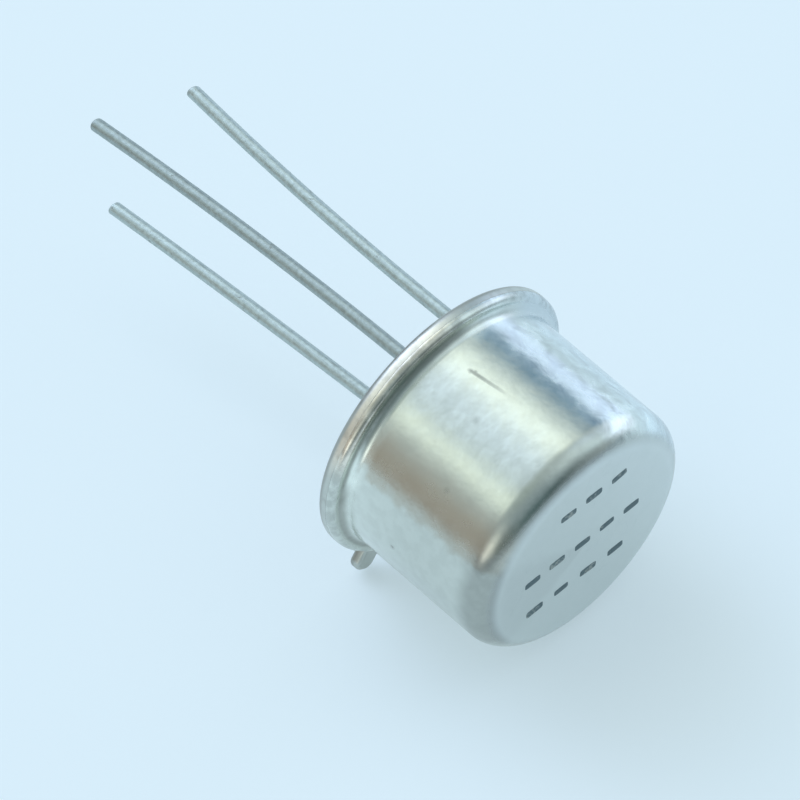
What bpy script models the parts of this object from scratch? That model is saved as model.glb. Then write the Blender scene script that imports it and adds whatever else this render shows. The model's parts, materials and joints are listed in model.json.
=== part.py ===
"""A three-lead transistor in a welded metal can, lying on its side as it comes to rest.

The package is modelled in its own frame. Z is the can's axis, z = 0 is the seating plane under the
flange, the cap stands above it, the leads hang below it and the index tab points along +X. One
empty then lays the whole package down, so that one of its flat sides rests on the rim of its flange
and the corner of its cap, and the tip of its tab just clears the ground. All sizes are in metres.
"""

import math

import bmesh
import bpy
from mathutils import Matrix, Vector

# Clearance between two pieces that touch, and the distance below which points are one
FIT = 0.00001
WELD = 0.0000001

# Sides of the turned pieces, and steps in each quarter of a rounded edge
SIDES = 48
CORNER_STEPS = 7
EDGE_STEPS = 3

# Cap: one drawn shell with an out-turned weld flange
CAP_DIAMETER = 0.00815
CAP_HEIGHT = 0.00625
CAP_SHEET = 0.00025
CAP_CORNER_RADIUS = 0.00085
CAP_ROOT_RADIUS = 0.0003
CAP_EDGE_RADIUS = 0.0001
CAP_FLANGE_SETBACK = 0.00005

# Header: one stamping with the flange, the index tab and the raised platform
FLANGE_REACH = 0.000525
HEADER_SHEET = 0.00038
FLANGE_EDGE_RADIUS = 0.00011
PLATFORM_GAP = 0.000125
PLATFORM_HEIGHT = 0.00125
PLATFORM_INNER_CORNER = 0.00012
SKIRT_ROOT_RADIUS = 0.00015
TAB_WIDTH = 0.00074
TAB_LENGTH = 0.00088
TAB_CORNER_RADIUS = 0.0002
TAB_EDGE_RADIUS = 0.00007
FEEDTHROUGH_DIAMETER = 0.0013

# Glass: how far it stands back from the seating plane and how it creeps up what it touches
GLASS_RECESS = 0.00016
GLASS_CREEP = 0.0001
GLASS_RIM_SLOPE = 0.0003
COLLAR_RECESS = 0.00004

# Leads, set in from the platform's side, with the angle from the index tab, seen from the cap's top
LEAD_DIAMETER = 0.00043
LEAD_INSET = 0.00116
LEAD_LENGTH = 0.01295
LEAD_SIDES_RESOLUTION = 4
LEAD_POINT_PITCH = 0.0009
LEAD_TIP_CHAMFER = 0.00005
EMITTER_ANGLE = 45.0
BASE_ANGLE = 135.0
COLLECTOR_ANGLE = 225.0

# Handling has bent the leads: their lean at the root and at the tip, in degrees, and their trim
LEAN_DIRECTION = 151.0
LEAN_START = 0.0006
EMITTER_LEAN = (-2.5, -4.4)
BASE_LEAN = (-2.0, 3.6)
COLLECTOR_LEAN = (-0.7, -5.2)
EMITTER_TRIM = 0.0004
BASE_TRIM = 0.0
COLLECTOR_TRIM = 0.0001

# Bonding posts: the coined heads on the leads' inner ends
POST_HEIGHT = 0.00075
HEAD_DIAMETER = 0.00075
HEAD_THICKNESS = 0.00012
HEAD_TAPER = 0.00004

# Rest pose: the gap between the tip of the tab and the ground
TAB_CLEARANCE = 0.00005

# Chip, its solder preform and the bond wires
CHIP_SIDE = 0.00095
CHIP_THICKNESS = 0.0002
PREFORM_MARGIN = 0.0001
PREFORM_THICKNESS = 0.00004
WIRE_DIAMETER = 0.00005
WIRE_SPACING = 0.00026
WIRE_FOOT = 0.00009
WIRE_LOOP_HEIGHT = 0.00045
WIRE_LOOP_STEPS = 10
PAD_OFFSET = 0.00022

# Sizes that follow from the ones above
HALF_SIDE_ANGLE = math.pi / SIDES
FLAT_RATIO = math.cos(HALF_SIDE_ANGLE)
FLANGE_DIAMETER = CAP_DIAMETER + 2 * FLANGE_REACH
CAP_FLANGE_DIAMETER = FLANGE_DIAMETER - 2 * CAP_FLANGE_SETBACK
CAP_ROOT = min(CAP_ROOT_RADIUS, FLANGE_REACH - CAP_FLANGE_SETBACK - CAP_EDGE_RADIUS)
CAP_FLANGE_BOTTOM = HEADER_SHEET + FIT
CAP_FLANGE_TOP = CAP_FLANGE_BOTTOM + CAP_SHEET
PLATFORM_DIAMETER = CAP_DIAMETER - 2 * (CAP_SHEET + PLATFORM_GAP)
PLATFORM_CORNER = PLATFORM_INNER_CORNER + HEADER_SHEET
PLATFORM_UNDERSIDE = PLATFORM_HEIGHT - HEADER_SHEET
LEAD_CIRCLE_DIAMETER = PLATFORM_DIAMETER - 2 * LEAD_INSET
POST_TOP = PLATFORM_HEIGHT + POST_HEIGHT
PREFORM_BOTTOM = PLATFORM_HEIGHT + FIT
CHIP_BOTTOM = PREFORM_BOTTOM + PREFORM_THICKNESS + FIT
CHIP_TOP = CHIP_BOTTOM + CHIP_THICKNESS

# Colours, roughness and metallic value
CAP_FINISH = ((0.60, 0.64, 0.65), 0.28, 1.0)
HEADER_FINISH = ((0.56, 0.58, 0.56), 0.33, 1.0)
GLASS_FINISH = ((0.05, 0.07, 0.07), 0.12, 0.0)
LEAD_FINISH = ((0.52, 0.55, 0.55), 0.38, 1.0)
PREFORM_FINISH = ((0.80, 0.62, 0.28), 0.35, 1.0)
CHIP_FINISH = ((0.16, 0.17, 0.20), 0.15, 0.6)
WIRE_FINISH = ((0.82, 0.82, 0.80), 0.30, 1.0)


def clear_scene():
    """Removes whatever the scene holds."""
    for obj in list(bpy.data.objects):
        bpy.data.objects.remove(obj, do_unlink=True)


def new_collection(name):
    """A collection in the scene."""
    collection = bpy.data.collections.new(name)
    bpy.context.scene.collection.children.link(collection)
    return collection


def make_material(name, finish):
    """A Principled material from a colour, a roughness and a metallic value."""
    colour, roughness, metallic = finish
    material = bpy.data.materials.new(name)
    material.use_nodes = True
    shader = material.node_tree.nodes["Principled BSDF"]
    shader.inputs["Base Color"].default_value = (*colour, 1.0)
    shader.inputs["Roughness"].default_value = roughness
    shader.inputs["Metallic"].default_value = metallic
    return material


def arc(centre, radius, start, end, steps):
    """Points on an arc in the profile's plane; the angles are in degrees from the +X direction."""
    points = []
    for step in range(steps + 1):
        angle = math.radians(start + (end - start) * step / steps)
        points.append((centre[0] + radius * math.cos(angle), centre[1] + radius * math.sin(angle)))
    return points


def circle_point(diameter, angle):
    """The place on a circle about the can's axis, with the angle from the tab in degrees."""
    turn = math.radians(angle)
    return Vector((diameter / 2 * math.cos(turn), diameter / 2 * math.sin(turn), 0.0))


def turned(name, profile, collection, sides=SIDES, turn=0.0):
    """A solid of revolution about Z: a profile at +X, from top to bottom, under a Screw modifier."""
    mesh = bpy.data.meshes.new(name)
    vertices = [(radius, 0.0, height) for radius, height in profile]
    edges = [(index, index + 1) for index in range(len(profile) - 1)]
    mesh.from_pydata(vertices, edges, [])
    obj = bpy.data.objects.new(name, mesh)
    collection.objects.link(obj)
    obj.rotation_euler.z = turn
    screw = obj.modifiers.new("turn", 'SCREW')
    screw.axis = 'Z'
    screw.angle = 2 * math.pi
    screw.steps = sides
    screw.render_steps = sides
    screw.use_smooth_shade = True
    screw.use_merge_vertices = True
    screw.merge_threshold = WELD
    return obj


def wire(name, points, radii, depth, resolution, collection):
    """A round wire along straight short steps, with a relative radius at each of its points."""
    curve = bpy.data.curves.new(name, 'CURVE')
    curve.dimensions = '3D'
    curve.bevel_depth = depth
    curve.bevel_resolution = resolution
    curve.use_fill_caps = True
    spline = curve.splines.new('POLY')
    spline.points.add(len(points) - 1)
    for control, point, radius in zip(spline.points, points, radii):
        control.co = (*point, 1.0)
        control.radius = radius
    spline.use_smooth = True
    obj = bpy.data.objects.new(name, curve)
    collection.objects.link(obj)
    return obj


def block(name, side, thickness, height, collection):
    """A square block with its centre on the axis and its underside at the given height."""
    mesh = bpy.data.meshes.new(name)
    shape = bmesh.new()
    bmesh.ops.create_cube(shape, size=1.0)
    bmesh.ops.scale(shape, vec=(side, side, thickness), verts=shape.verts)
    bmesh.ops.translate(shape, vec=(0.0, 0.0, height + thickness / 2), verts=shape.verts)
    shape.to_mesh(mesh)
    shape.free()
    obj = bpy.data.objects.new(name, mesh)
    collection.objects.link(obj)
    return obj


def use_as_tool(obj):
    """Marks an object as a cutter or a joined shape, which is not a part of its own."""
    obj.hide_render = True
    obj.display_type = 'WIRE'


def combine(obj, tools, operation):
    """Cuts or joins an object with each of the tools."""
    for tool in tools:
        modifier = obj.modifiers.new(tool.name, 'BOOLEAN')
        modifier.operation = operation
        modifier.solver = 'EXACT'
        modifier.object = tool
        use_as_tool(tool)


def rod_tool(name, place, diameter, bottom, top, tools, sides=16):
    """An upright round tool whose flat sides lie at the given diameter."""
    mesh = bpy.data.meshes.new(name)
    shape = bmesh.new()
    radius = diameter / 2 / math.cos(math.pi / sides)
    bmesh.ops.create_cone(
        shape, cap_ends=True, segments=sides, radius1=radius, radius2=radius, depth=top - bottom
    )
    shape.to_mesh(mesh)
    shape.free()
    obj = bpy.data.objects.new(name, mesh)
    tools.objects.link(obj)
    obj.location = place + Vector((0.0, 0.0, (top + bottom) / 2))
    return obj


def tab_outline_mesh():
    """The index tab seen from above: a straight tongue with rounded corners at its tip."""
    half = TAB_WIDTH / 2
    corner = TAB_CORNER_RADIUS
    tip = FLANGE_DIAMETER / 2 + TAB_LENGTH
    inside = (FLANGE_DIAMETER + PLATFORM_DIAMETER) / 4
    outline = [(inside, -half)]
    outline += arc((tip - corner, -half + corner), corner, -90, 0, EDGE_STEPS)
    outline += arc((tip - corner, half - corner), corner, 0, 90, EDGE_STEPS)
    outline += [(inside, half)]
    curve = bpy.data.curves.new("tab_outline", 'CURVE')
    curve.dimensions = '2D'
    curve.fill_mode = 'BOTH'
    curve.extrude = HEADER_SHEET / 2 - FIT - TAB_EDGE_RADIUS
    curve.offset = -TAB_EDGE_RADIUS
    curve.bevel_depth = TAB_EDGE_RADIUS
    curve.bevel_resolution = 1
    spline = curve.splines.new('POLY')
    spline.points.add(len(outline) - 1)
    spline.use_cyclic_u = True
    for control, point in zip(spline.points, outline):
        control.co = (*point, 0.0, 1.0)
    return curve


def make_tab(tools):
    """The tab as a mesh, which joins the header's flange."""
    guide = bpy.data.objects.new("tab_guide", tab_outline_mesh())
    tools.objects.link(guide)
    guide.location.z = HEADER_SHEET / 2
    bpy.context.view_layer.update()
    evaluated = guide.evaluated_get(bpy.context.evaluated_depsgraph_get())
    mesh = bpy.data.meshes.new_from_object(evaluated)
    shape = bmesh.new()
    shape.from_mesh(mesh)
    bmesh.ops.remove_doubles(shape, verts=shape.verts, dist=WELD)
    shape.to_mesh(mesh)
    shape.free()
    tab = bpy.data.objects.new("tab_shape", mesh)
    tab.matrix_world = guide.matrix_world
    tools.objects.link(tab)
    bpy.data.objects.remove(guide, do_unlink=True)
    return tab


def header_bend_centre():
    """Centre of the bend between the header's skirt and its flange, shared by glass and metal."""
    return (PLATFORM_DIAMETER / 2 + SKIRT_ROOT_RADIUS, HEADER_SHEET + SKIRT_ROOT_RADIUS)


def make_header(parts, tools, turn):
    """The stamped header, bent from one sheet, with its tab and its two feedthrough holes."""
    sheet = HEADER_SHEET
    platform = PLATFORM_DIAMETER / 2
    corner = PLATFORM_CORNER
    corner_centre = (platform - corner, PLATFORM_HEIGHT - corner)
    bend = header_bend_centre()
    edge = FLANGE_EDGE_RADIUS
    rim = FLANGE_DIAMETER / 2 - edge
    profile = [(0.0, PLATFORM_HEIGHT)]
    profile += arc(corner_centre, corner, 90, 0, EDGE_STEPS + 1)
    profile += arc(bend, SKIRT_ROOT_RADIUS, 180, 270, EDGE_STEPS)
    profile += arc((rim, sheet - edge), edge, 90, 0, EDGE_STEPS)
    profile += arc((rim, edge), edge, 0, -90, EDGE_STEPS)
    profile += arc(bend, SKIRT_ROOT_RADIUS + sheet, 270, 180, EDGE_STEPS + 2)
    profile += arc(corner_centre, PLATFORM_INNER_CORNER, 0, 90, EDGE_STEPS)
    profile += [(0.0, PLATFORM_UNDERSIDE)]
    header = turned("header", profile, parts, turn=turn)
    holes = []
    for name, angle in (("emitter", EMITTER_ANGLE), ("base", BASE_ANGLE)):
        place = circle_point(LEAD_CIRCLE_DIAMETER, angle)
        bottom = PLATFORM_UNDERSIDE - sheet
        top = PLATFORM_HEIGHT + sheet
        holes.append(rod_tool(name + "_hole", place, FEEDTHROUGH_DIAMETER, bottom, top, tools, 24))
    combine(header, [make_tab(tools)], 'UNION')
    combine(header, holes, 'DIFFERENCE')
    return header


def make_cap(parts, turn):
    """The drawn cap: top, corner, wall and out-turned flange, all of one sheet thickness."""
    sheet = CAP_SHEET
    wall = CAP_DIAMETER / 2
    corner = CAP_CORNER_RADIUS
    edge = CAP_EDGE_RADIUS
    corner_centre = (wall - corner, CAP_HEIGHT - corner)
    root_centre = (wall + CAP_ROOT, CAP_FLANGE_TOP + CAP_ROOT)
    rim = CAP_FLANGE_DIAMETER / 2 - edge
    profile = [(0.0, CAP_HEIGHT)]
    profile += arc(corner_centre, corner, 90, 0, CORNER_STEPS)
    profile += arc(root_centre, CAP_ROOT, 180, 270, EDGE_STEPS + 1)
    profile += arc((rim, CAP_FLANGE_TOP - edge), edge, 90, 0, EDGE_STEPS)
    profile += arc((rim, CAP_FLANGE_BOTTOM + edge), edge, 0, -90, EDGE_STEPS)
    profile += arc(root_centre, CAP_ROOT + sheet, 270, 180, EDGE_STEPS + 1)
    profile += arc(corner_centre, corner - sheet, 0, 90, EDGE_STEPS + 1)
    profile += [(0.0, CAP_HEIGHT - sheet)]
    return turned("cap", profile, parts, turn=turn)


def creep_profile(lead_radius):
    """Glass that creeps down a lead, as a small turned shape about the lead's own axis."""
    outer = lead_radius + GLASS_CREEP
    inside = GLASS_RECESS + 2 * GLASS_CREEP
    end = GLASS_RECESS - GLASS_CREEP + FIT
    profile = [(0.0, inside), (outer, inside)]
    profile += arc((outer, end), GLASS_CREEP, 90, 180, EDGE_STEPS)
    profile += [(0.0, end)]
    return profile


def make_glass(parts, tools, turn):
    """The glass that fills the header from below and seals round each lead."""
    sheet = HEADER_SHEET
    corner_centre = (PLATFORM_DIAMETER / 2 - PLATFORM_CORNER, PLATFORM_HEIGHT - PLATFORM_CORNER)
    bend = header_bend_centre()
    reach = SKIRT_ROOT_RADIUS + sheet + FIT
    top = PLATFORM_UNDERSIDE - FIT
    rim_height = GLASS_RECESS - GLASS_CREEP / 2
    last = 180 + math.degrees(math.asin((bend[1] - rim_height) / reach))
    profile = [(0.0, top)]
    profile += arc(corner_centre, PLATFORM_INNER_CORNER - FIT, 90, 0, EDGE_STEPS)
    profile += arc(bend, reach, 180, last, EDGE_STEPS + 2)
    profile += [(profile[-1][0] - GLASS_RIM_SLOPE, GLASS_RECESS), (0.0, GLASS_RECESS)]
    glass = turned("glass_seal", profile, parts, turn=turn)
    lead_radius = LEAD_DIAMETER / 2 + FIT
    joined = []
    cut = []
    leads = (("emitter", EMITTER_ANGLE), ("base", BASE_ANGLE), ("collector", COLLECTOR_ANGLE))
    for name, angle in leads:
        place = circle_point(LEAD_CIRCLE_DIAMETER, angle)
        creep = turned(name + "_creep", creep_profile(lead_radius), tools, sides=16)
        creep.location = place
        joined.append(creep)
        cut.append(
            rod_tool(name + "_bore", place, 2 * lead_radius, -sheet, PLATFORM_HEIGHT + sheet, tools)
        )
        if name == "collector":
            head = HEAD_DIAMETER + 2 * FIT
            depth = top - HEAD_THICKNESS - HEAD_TAPER - FIT
            cut.append(rod_tool(name + "_head_bore", place, head, depth, top + sheet, tools))
        else:
            collar = FEEDTHROUGH_DIAMETER - 4 * FIT
            height = PLATFORM_HEIGHT - COLLAR_RECESS
            root = top - sheet / 2
            joined.append(rod_tool(name + "_collar", place, collar, root, height, tools, 24))
    combine(glass, joined, 'UNION')
    combine(glass, cut, 'DIFFERENCE')
    return glass


def lead_path(place, lean, length):
    """Points down a lead below the seating plane: the lean starts softly, then drifts evenly."""
    root_lean, tip_lean = lean
    direction = circle_point(2.0, LEAN_DIRECTION)
    steps = max(2, round(length / LEAD_POINT_PITCH))
    point = place.copy()
    points = []
    for step in range(1, steps + 1):
        middle = (step - 0.5) * length / steps
        drift = root_lean + (tip_lean - root_lean) * middle / length
        angle = math.radians(drift * min(1.0, middle / LEAN_START))
        move = direction * math.sin(angle) - Vector((0.0, 0.0, math.cos(angle)))
        point = point + move * length / steps
        points.append(point.copy())
    return points


def make_lead(name, angle, lean, length, top, parts):
    """One lead with a coined head at its top, straight through the glass and bent below it."""
    place = circle_point(LEAD_CIRCLE_DIAMETER, angle)
    head = HEAD_DIAMETER / LEAD_DIAMETER
    up = Vector((0.0, 0.0, 1.0))
    points = [
        place + up * top,
        place + up * (top - HEAD_THICKNESS),
        place + up * (top - HEAD_THICKNESS - HEAD_TAPER),
        place.copy(),
    ]
    radii = [head, head, 1.0, 1.0]
    below = lead_path(place, lean, length)
    end_direction = (below[-1] - below[-2]).normalized()
    below.insert(-1, below[-1] - end_direction * LEAD_TIP_CHAMFER)
    points += below
    tip_radius = 1.0 - 2 * LEAD_TIP_CHAMFER / LEAD_DIAMETER
    radii += [1.0] * (len(below) - 1) + [tip_radius]
    return wire(name, points, radii, LEAD_DIAMETER / 2, LEAD_SIDES_RESOLUTION, parts)


def bond_wire_points(angle, side):
    """One bond wire from the chip's pad to the post's head, with a flat foot at each end."""
    along = circle_point(2.0, angle)
    across = Vector((-along.y, along.x, 0.0)) * side * WIRE_SPACING / 2
    lift = Vector((0.0, 0.0, WIRE_DIAMETER / 2 + FIT))
    start = along * PAD_OFFSET + across + Vector((0.0, 0.0, CHIP_TOP)) + lift
    end = along * LEAD_CIRCLE_DIAMETER / 2 + across + Vector((0.0, 0.0, POST_TOP)) + lift
    rise = start + along * WIRE_FOOT
    fall = end - along * WIRE_FOOT
    peak = Vector((0.0, 0.0, POST_TOP - CHIP_TOP + WIRE_LOOP_HEIGHT))
    span = (fall - rise).dot(along)
    first = rise + peak + along * span * 0.1
    second = fall + along * span * -0.25 + Vector((0.0, 0.0, WIRE_LOOP_HEIGHT))
    points = [start]
    for step in range(WIRE_LOOP_STEPS + 1):
        t = step / WIRE_LOOP_STEPS
        points.append(
            rise * (1 - t) ** 3
            + first * 3 * t * (1 - t) ** 2
            + second * 3 * t * t * (1 - t)
            + fall * t ** 3
        )
    points.append(end)
    return points


def make_bond_wires(parts):
    """Two wires to the emitter's post and two to the base's post."""
    wires = []
    for name, angle in (("emitter", EMITTER_ANGLE), ("base", BASE_ANGLE)):
        for number, side in enumerate((-1, 1), start=1):
            points = bond_wire_points(angle, side)
            title = "%s_bond_wire_%d" % (name, number)
            wires.append(wire(title, points, [1.0] * len(points), WIRE_DIAMETER / 2, 2, parts))
    return wires


def rim_edges():
    """Rounded rims of header and cap on a flat side: the arc centre's radius and height, its radius."""
    header_rim = (FLANGE_DIAMETER / 2 - FLANGE_EDGE_RADIUS) * FLAT_RATIO
    cap_rim = (CAP_FLANGE_DIAMETER / 2 - CAP_EDGE_RADIUS) * FLAT_RATIO
    return (
        (header_rim, HEADER_SHEET - FLANGE_EDGE_RADIUS, FLANGE_EDGE_RADIUS),
        (cap_rim, CAP_FLANGE_TOP - CAP_EDGE_RADIUS, CAP_EDGE_RADIUS),
    )


def rest_tilt():
    """How far the axis dips when the can lies on its flange rim and on the corner of its cap."""
    corner = CAP_CORNER_RADIUS
    corner_radius = (CAP_DIAMETER / 2 - corner) * FLAT_RATIO
    corner_height = CAP_HEIGHT - corner
    tilts = []
    for radius, height, edge in rim_edges():
        across = radius - corner_radius
        along = height - corner_height
        spread = math.acos((corner - edge) / math.hypot(across, along))
        tilts.append(spread + math.atan2(along, across))
    return max(tilts)


def reach_down(radius, height, edge, tilt):
    """How far a rounded edge reaches towards the ground, measured square to the can's axis."""
    return radius + height * math.tan(tilt) + edge / math.cos(tilt)


def rest_angle(tilt):
    """The angle from the tab to the line of contact when the tab's tip just clears the ground."""
    level = max(reach_down(*rim, tilt) for rim in rim_edges())
    tab_top = HEADER_SHEET - FIT - TAB_EDGE_RADIUS
    corner = TAB_CORNER_RADIUS - TAB_EDGE_RADIUS
    out = FLANGE_DIAMETER / 2 + TAB_LENGTH - TAB_CORNER_RADIUS
    half = TAB_WIDTH / 2 - TAB_CORNER_RADIUS
    needed = level - TAB_CLEARANCE - reach_down(corner, tab_top, TAB_EDGE_RADIUS, tilt)
    return math.acos(needed / math.hypot(out, half)) + math.atan2(half, out)


def lay_down(parts, tools, tilt, contact):
    """Puts every piece under one empty, turned to the rest position and set down on z = 0."""
    carrier = bpy.data.objects.new("rest_pose", None)
    bpy.context.scene.collection.objects.link(carrier)
    for obj in [*parts.objects, *tools.objects]:
        obj.parent = carrier
    quarter = math.pi / 2
    roll = Matrix.Rotation(-quarter - contact, 4, 'Z')
    carrier.matrix_world = Matrix.Rotation(quarter + tilt, 4, 'X') @ roll
    bpy.context.view_layer.update()
    graph = bpy.context.evaluated_depsgraph_get()
    corners = []
    for obj in parts.objects:
        shape = obj.evaluated_get(graph).to_mesh()
        corners += [obj.matrix_world @ vertex.co for vertex in shape.vertices]
        obj.evaluated_get(graph).to_mesh_clear()
    low = Vector([min(corner[axis] for corner in corners) for axis in range(3)])
    high = Vector([max(corner[axis] for corner in corners) for axis in range(3)])
    middle = (low + high) / 2
    carrier.matrix_world = Matrix.Translation((-middle.x, -middle.y, -low.z)) @ carrier.matrix_world


def paint(obj, name, finish):
    """Gives an object its own material."""
    obj.data.materials.append(make_material(name, finish))


def main():
    """Builds every piece in the package's frame and lays the package down."""
    clear_scene()
    parts = new_collection("rf_transistor")
    tools = new_collection("construction")
    tilt = rest_tilt()
    contact = rest_angle(tilt)

    # The turned pieces have the middle of a flat side on the line of contact
    turn = contact + HALF_SIDE_ANGLE
    paint(make_header(parts, tools, turn), "header_plating", HEADER_FINISH)
    paint(make_cap(parts, turn), "cap_plating", CAP_FINISH)
    paint(make_glass(parts, tools, turn), "seal_glass", GLASS_FINISH)

    stub_top = PLATFORM_UNDERSIDE - FIT
    leads = (
        ("emitter_lead", EMITTER_ANGLE, EMITTER_LEAN, LEAD_LENGTH + EMITTER_TRIM, POST_TOP),
        ("base_lead", BASE_ANGLE, BASE_LEAN, LEAD_LENGTH + BASE_TRIM, POST_TOP),
        ("collector_lead", COLLECTOR_ANGLE, COLLECTOR_LEAN, LEAD_LENGTH + COLLECTOR_TRIM, stub_top),
    )
    for name, angle, lean, length, top in leads:
        paint(make_lead(name, angle, lean, length, top, parts), name + "_plating", LEAD_FINISH)

    preform_side = CHIP_SIDE + 2 * PREFORM_MARGIN
    preform = block("solder_preform", preform_side, PREFORM_THICKNESS, PREFORM_BOTTOM, parts)
    chip = block("silicon_chip", CHIP_SIDE, CHIP_THICKNESS, CHIP_BOTTOM, parts)
    paint(preform, "preform_metal", PREFORM_FINISH)
    paint(chip, "silicon", CHIP_FINISH)
    for obj in make_bond_wires(parts):
        paint(obj, obj.name + "_metal", WIRE_FINISH)

    lay_down(parts, tools, tilt, contact)


main()
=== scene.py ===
"""Finishes a packed three-lead transistor in a metal can: fine shapes, plated metal, glass and a studio.

Every piece is worked out in the package's own frame, in metres: z is the can's axis with 0 on the
seating plane, the cap above it and the leads below, and x points at the index tab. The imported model's
mounts and the tip of its tab say where that frame lies.
"""

import json
import math
from functools import reduce

import bmesh
import bpy
import numpy as np
from bpy.props import FloatProperty, FloatVectorProperty, IntProperty, PointerProperty
from mathutils import Matrix, Vector


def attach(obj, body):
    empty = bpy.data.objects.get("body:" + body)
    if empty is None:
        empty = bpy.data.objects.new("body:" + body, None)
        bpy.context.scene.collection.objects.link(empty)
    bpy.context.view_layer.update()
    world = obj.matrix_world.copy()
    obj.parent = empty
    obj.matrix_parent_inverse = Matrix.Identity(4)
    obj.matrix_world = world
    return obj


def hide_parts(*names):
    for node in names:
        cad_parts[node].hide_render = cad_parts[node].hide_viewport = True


bl_info = {
    "name": "Metal Can Transistor",
    "version": (1, 0, 0),
    "blender": (4, 5, 0),
    "location": "View3D > Sidebar > Transistor",
    "description": "Dresses a packed three-lead transistor with fine shapes, plated metal and a studio",
    "category": "Object",
}

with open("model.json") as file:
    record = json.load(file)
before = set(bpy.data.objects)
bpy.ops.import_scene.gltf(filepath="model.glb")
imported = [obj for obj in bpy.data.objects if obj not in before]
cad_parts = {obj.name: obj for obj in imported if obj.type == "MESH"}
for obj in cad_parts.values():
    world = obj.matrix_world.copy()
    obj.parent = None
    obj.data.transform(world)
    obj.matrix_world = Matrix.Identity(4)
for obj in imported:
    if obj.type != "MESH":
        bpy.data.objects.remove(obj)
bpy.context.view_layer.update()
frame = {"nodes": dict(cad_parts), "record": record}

MM = 1000.0
# Room between pieces that touch, and how near two points are merged, in metres
FIT = 0.00001
MERGE = 0.00000001
# Sides of the holes in the header and of what fills them
HOLE_SIDES = 64


# Settings


def length(name, description, default):
    """A size in metres."""
    return FloatProperty(
        name=name, description=description, default=default, subtype='DISTANCE', unit='LENGTH', precision=6
    )


def colour(name, description, default):
    """A linear colour."""
    return FloatVectorProperty(
        name=name, description=description, default=default, size=3, min=0.0, max=1.0, subtype='COLOR'
    )


def three(name, description, default):
    """Three numbers: for the emitter's, the base's and the collector's lead."""
    return FloatVectorProperty(name=name, description=description, default=default, size=3)


class CanSettings(bpy.types.PropertyGroup):
    """Sizes of the cap, the header and the glass."""

    flat_sides: IntProperty(
        name="Flat sides", description="Sides of the packed model's turned pieces", default=48
    )
    around: IntProperty(name="Steps round", description="Steps round a fine turned piece", default=288)
    cap_diameter: length("Cap diameter", "Across the cap's wall", 0.00815)
    cap_height: length("Cap height", "From the seating plane to the cap's top", 0.006245)
    cap_sheet: length("Cap sheet", "Thickness of the cap's sheet", 0.00025)
    cap_corner: length("Cap corner", "Radius of the cap's top corner", 0.00085)
    cap_root: length("Cap root", "Radius between the wall and its flange", 0.00032)
    cap_edge: length("Cap edge", "Radius of the cap flange's upper edge", 0.0002)
    cap_setback: length("Cap setback", "From the header's edge in to the cap flange's edge", 0.000004)
    weld_gap: length("Weld gap", "Between the two flanges", 0.0000005)
    seam_edge: length("Seam edge", "Radius of both flanges' edges at the weld", 0.000006)
    flange_reach: length("Flange reach", "How far the header's flange stands out past the cap", 0.000505)
    header_sheet: length("Header sheet", "Thickness of the header's sheet", 0.00038)
    flange_edge: length("Flange edge", "Radius of the header flange's lower edge", 0.00024)
    platform_gap: length("Platform gap", "Between the platform and the cap's inside", 0.000125)
    platform_height: length("Platform height", "From the seating plane to the platform", 0.00125)
    platform_corner: length("Platform corner", "Inside radius of the platform's corner", 0.00012)
    skirt_root: length("Skirt root", "Radius between the platform's skirt and the flange", 0.00015)
    tab_width: length("Tab width", "Width of the index tab", 0.00074)
    tab_length: length("Tab length", "Length of the index tab past the flange", 0.00088)
    tab_corner: length("Tab corner", "Radius of the tab's corners", 0.0003)
    tab_root: length("Tab root", "Radius between the tab and the flange", 0.00014)
    tab_edge: length("Tab edge", "Radius of the tab's edges", 0.00012)
    feedthrough: length("Feedthrough", "Diameter of the holes for emitter and base", 0.0013)
    glass_recess: length("Glass recess", "From the seating plane in to the glass", 0.00016)
    glass_creep: length("Glass creep", "How far the glass climbs what it touches", 0.0001)


class LeadSettings(bpy.types.PropertyGroup):
    """Sizes and bends of the three leads."""

    diameter: length("Lead diameter", "Diameter of a lead", 0.00043)
    inset: length("Lead inset", "From the platform's side in to a lead", 0.00116)
    reach: length("Lead length", "Length below the seating plane", 0.01295)
    trims: three("Lead trims", "What each lead is longer by, in metres", (0.0004, 0.0, 0.0001))
    angles: three("Lead angles", "Angle of each lead from the tab, in degrees", (45.0, 135.0, 225.0))
    root_leans: three("Leans at the root", "Lean of each lead at its root, in degrees", (-2.5, -2.0, -0.7))
    tip_leans: three("Leans at the tip", "Lean of each lead at its tip, in degrees", (-4.4, 3.6, -5.2))
    lean_direction: FloatProperty(
        name="Lean direction", description="Which way a lead leans, from the tab", default=151.0
    )
    lean_start: length("Lean start", "Over what length a lean starts", 0.0006)
    post_height: length("Post height", "From the platform to the top of a post", 0.00075)
    head_diameter: length("Head diameter", "Diameter of a post's coined head", 0.00075)
    head_thickness: length("Head thickness", "Thickness of a post's coined head", 0.00012)
    head_taper: length("Head taper", "Length of the taper below a head", 0.00004)
    tip_radius: length("Tip radius", "Radius of a cut tip's edge", 0.00008)
    tip_slant: length("Tip slant", "How far the cutters slanted a tip", 0.00008)


class InkSettings(bpy.types.PropertyGroup):
    """The worn ink dashes on the cap's top."""

    turn: FloatProperty(name="Row direction", description="Direction of a row, from the tab", default=122.7)
    dash: length("Dash length", "Length of a dash", 0.0006)
    stroke: length("Dash width", "Width of a dash", 0.00027)
    thickness: length("Ink thickness", "How far the ink stands on the metal", 0.000004)
    seed: IntProperty(name="Seed", description="Sets how the dashes wander", default=7)


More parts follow.
